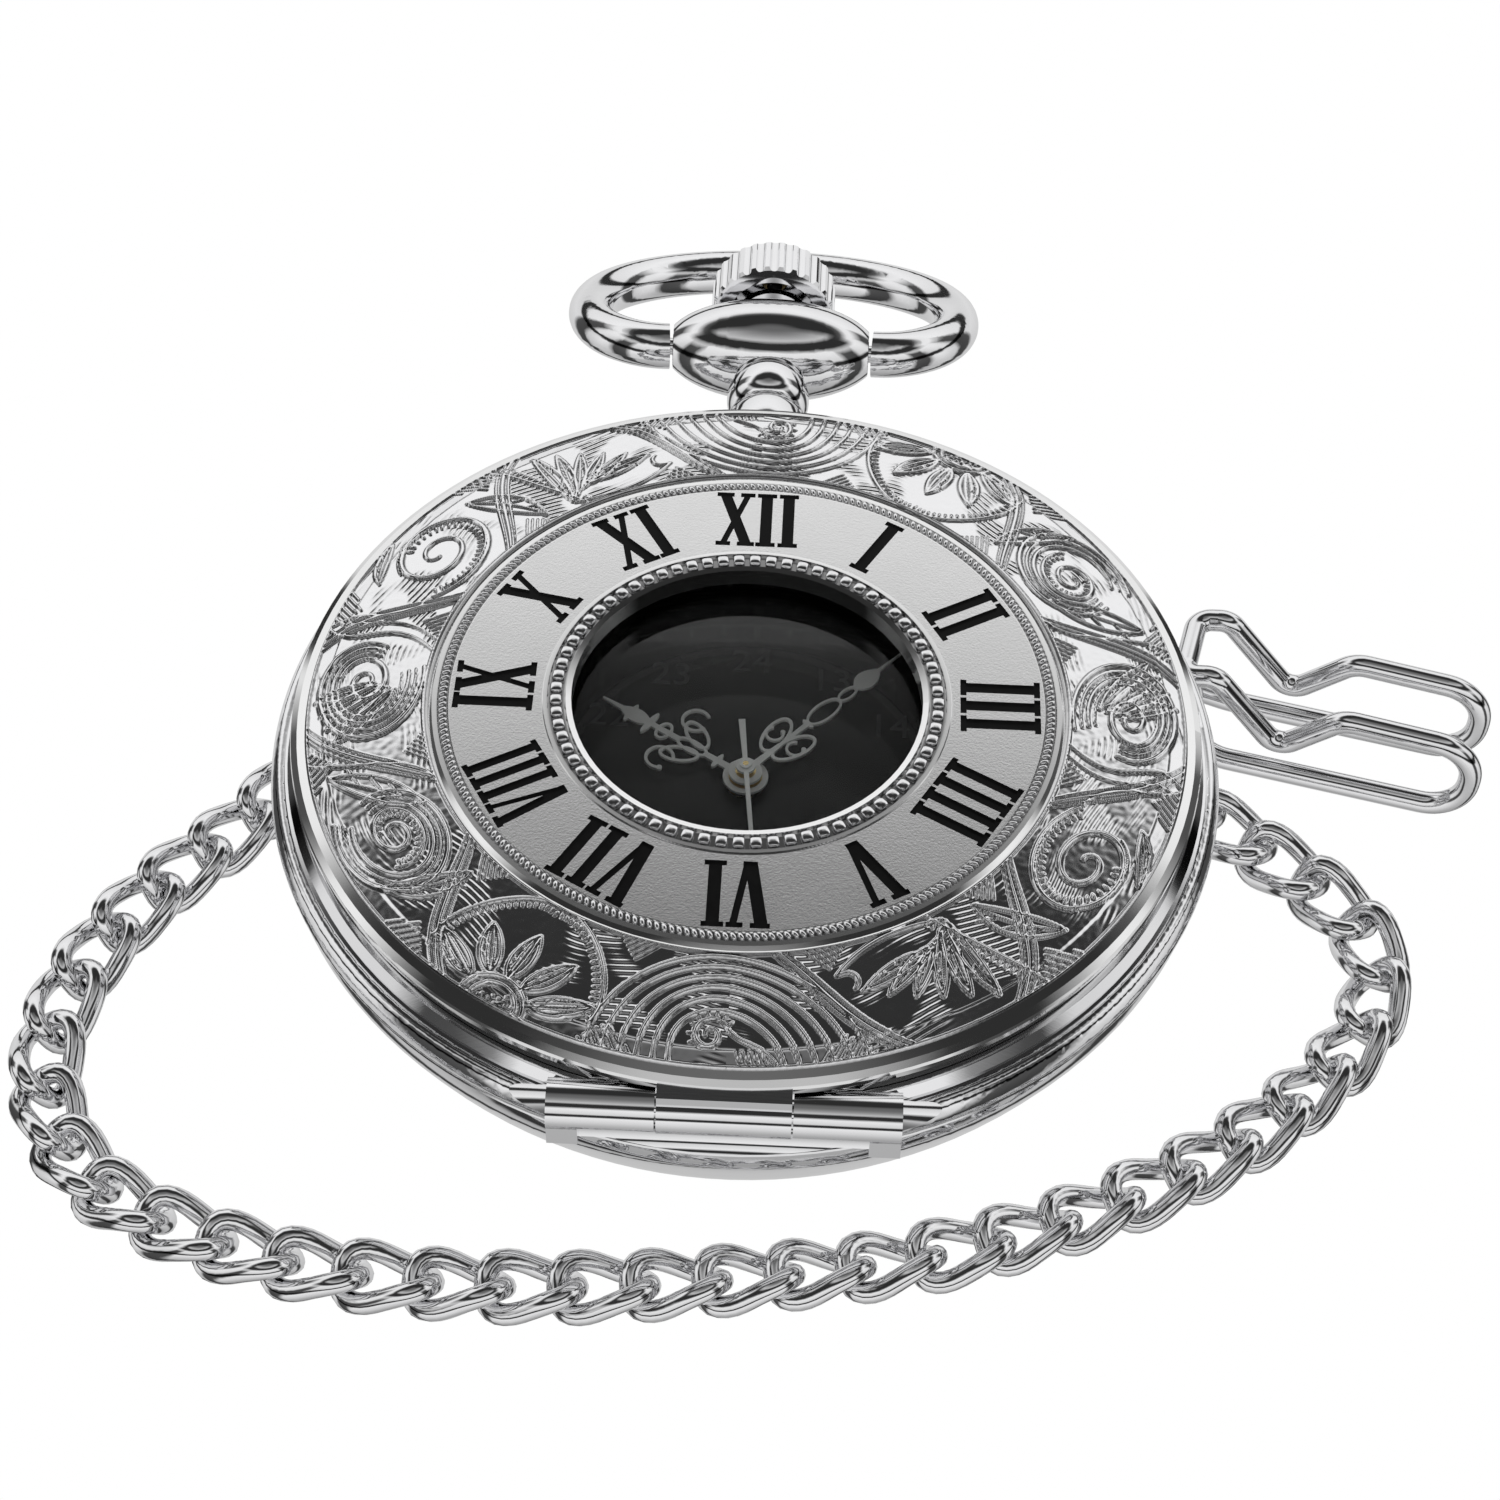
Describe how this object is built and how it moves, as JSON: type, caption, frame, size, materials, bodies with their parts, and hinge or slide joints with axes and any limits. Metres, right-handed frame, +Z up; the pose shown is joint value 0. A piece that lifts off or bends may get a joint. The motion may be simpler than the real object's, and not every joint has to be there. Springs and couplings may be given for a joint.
{
  "type": "pocket watch",
  "caption": "Half-hunter pocket watch with windowed hinged cover, quartz movement, swinging bow, push crown, curb chain, spring-ring clasp and wire belt clip.",
  "frame": {"origin": "centre of the back cover's flat, on the surface the watch lies on", "axes": "+Z up out of the dial, +Y from the centre to 12 o'clock and the pendant, +X to 3 o'clock; the cover hinge is on -Y"},
  "size_m": [0.0754, 0.0775, 0.0146],
  "materials": {
    "steel_polished": "polished chromed steel",
    "steel_satin": "satin steel",
    "black_enamel": "black enamel fill",
    "crystal_glass": "clear mineral glass",
    "dial_black": "gloss black lacquer",
    "hand_white": "white lacquer",
    "brass_plain": "plain brass",
    "rubber_black": "nitrile ring",
    "plastic_white": "moulded acetal",
    "board_green": "printed circuit laminate",
    "chip_black": "moulded chip",
    "copper_wire": "enamelled copper wire",
    "soft_iron": "soft iron laminations"
  },
  "bodies": {
    "case": {"back_cover": "steel_polished", "back_gasket": "rubber_black", "battery": "steel_satin", "battery_clip": "brass_plain", "battery_clip_post": "brass_plain", "battery_clip_screw": "steel_satin", "belt_clip": "steel_polished", "bridge_screws": "steel_satin", "case_band": "steel_polished", "case_clamps": "brass_plain", "case_screws": "steel_satin", "chain": "steel_polished", "circuit_board": "board_green", "circuit_chip": "chip_black", "clasp_body": "steel_polished", "clasp_ring": "steel_polished", "clip_ring": "steel_polished", "coil_core": "soft_iron", "coil_winding": "copper_wire", "crystal": "crystal_glass", "crystal_gasket": "plastic_white", "dial": "dial_black", "hinge_pin": "steel_polished", "lever_screw": "steel_satin", "lift_spring": "steel_satin", "main_plate": "brass_plain", "movement_ring": "plastic_white", "pendant": "steel_polished", "pendant_sleeve": "brass_plain", "quartz_can": "steel_satin", "stator": "soft_iron", "train_bridge": "plastic_white"},
    "cover": {"front_cover": "steel_polished", "numerals": "black_enamel", "cover_window": "crystal_glass", "window_retainer": "steel_satin", "cover_knuckle": "steel_polished"},
    "catch": {"catch_spring": "steel_satin"},
    "bow": {"bow": "steel_polished", "bow_pins": "steel_polished"},
    "clutch": {"clutch_pinion": "steel_satin"},
    "crown": {"crown": "steel_polished", "stem": "steel_satin"},
    "lever": {"setting_lever": "steel_satin"},
    "seconds": {"second_hand": "hand_white", "second_wheel": "brass_plain"},
    "minutes": {"minute_hand": "hand_white", "cannon_pinion": "brass_plain", "centre_wheel": "brass_plain"},
    "hours": {"hour_hand": "hand_white", "hour_wheel": "brass_plain"},
    "third": {"third_wheel": "brass_plain"},
    "fifth": {"fifth_wheel": "plastic_white"},
    "rotor": {"rotor": "soft_iron"},
    "minute_works": {"minute_wheel": "brass_plain"},
    "setting": {"setting_wheel": "plastic_white"},
    "gate": {"clasp_gate": "steel_polished"}
  },
  "joints": [
    {"name": "cover_open", "type": "hinge", "parent": "case", "child": "cover", "pos_m": [0, -0.0223, 0.0115], "axis": [1, 0, 0], "range_deg": [0, 100]},
    {"name": "catch_release", "type": "hinge", "parent": "case", "child": "catch", "pos_m": [0.0163, 0.01274, 0.012], "axis": [0, 0, 1], "range_deg": [0, 1.8]},
    {"name": "bow_swing", "type": "hinge", "parent": "case", "child": "bow", "pos_m": [0, 0.0343, 0.0071], "axis": [1, 0, 0], "range_deg": [-40, 110]},
    {"name": "crown_turn", "type": "hinge", "parent": "case", "child": "clutch", "pos_m": [0, 0.009, 0.0071], "axis": [0, 1, 0], "continuous": true},
    {"name": "crown_pull", "type": "slide", "parent": "clutch", "child": "crown", "axis": [0, 1, 0], "range_m": [-0.0002, 0.0008]},
    {"name": "lever_rock", "type": "hinge", "parent": "case", "child": "lever", "pos_m": [0.0029, 0.01135, 0.0062], "axis": [0, 0, 1], "range_deg": [-16, 4.1]},
    {"name": "second_turn", "type": "hinge", "parent": "case", "child": "seconds", "pos_m": [0, 0, 0.006], "axis": [0, 0, -1], "continuous": true},
    {"name": "minute_turn", "type": "hinge", "parent": "case", "child": "minutes", "pos_m": [0, 0, 0.006], "axis": [0, 0, -1], "continuous": true},
    {"name": "hour_turn", "type": "hinge", "parent": "case", "child": "hours", "pos_m": [0, 0, 0.006], "axis": [0, 0, -1], "continuous": true},
    {"name": "third_turn", "type": "hinge", "parent": "case", "child": "third", "pos_m": [-0.00287, -0.00105, 0.006], "axis": [0, 0, -1], "continuous": true},
    {"name": "fifth_turn", "type": "hinge", "parent": "case", "child": "fifth", "pos_m": [0.00202, -0.0017, 0.006], "axis": [0, 0, -1], "continuous": true},
    {"name": "rotor_turn", "type": "hinge", "parent": "case", "child": "rotor", "pos_m": [0.00363, -0.00305, 0.006], "axis": [0, 0, -1], "continuous": true},
    {"name": "minute_wheel_turn", "type": "hinge", "parent": "case", "child": "minute_works", "pos_m": [0.00078, 0.0029, 0.006], "axis": [0, 0, -1], "continuous": true},
    {"name": "setting_wheel_turn", "type": "hinge", "parent": "case", "child": "setting", "pos_m": [0, 0.00605, 0.006], "axis": [0, 0, -1], "continuous": true},
    {"name": "gate_slide", "type": "hinge", "parent": "case", "child": "gate", "pos_m": [0.015, 0.0223, 0.00075], "axis": [0, 0, 1], "range_deg": [-54, 0]}
  ],
  "couplings": [
    {"joint": "second_turn", "follows": "rotor_turn", "ratio": 0.033333},
    {"joint": "minute_turn", "follows": "rotor_turn", "ratio": 0.00055556},
    {"joint": "hour_turn", "follows": "rotor_turn", "ratio": 0.000046296},
    {"joint": "third_turn", "follows": "rotor_turn", "ratio": -0.0044444},
    {"joint": "fifth_turn", "follows": "rotor_turn", "ratio": -0.16667},
    {"joint": "minute_wheel_turn", "follows": "rotor_turn", "ratio": -0.00018519},
    {"joint": "setting_wheel_turn", "follows": "rotor_turn", "ratio": 0.00041667},
    {"joint": "lever_rock", "follows": "crown_pull", "rad_per_m": -344.83}
  ]
}
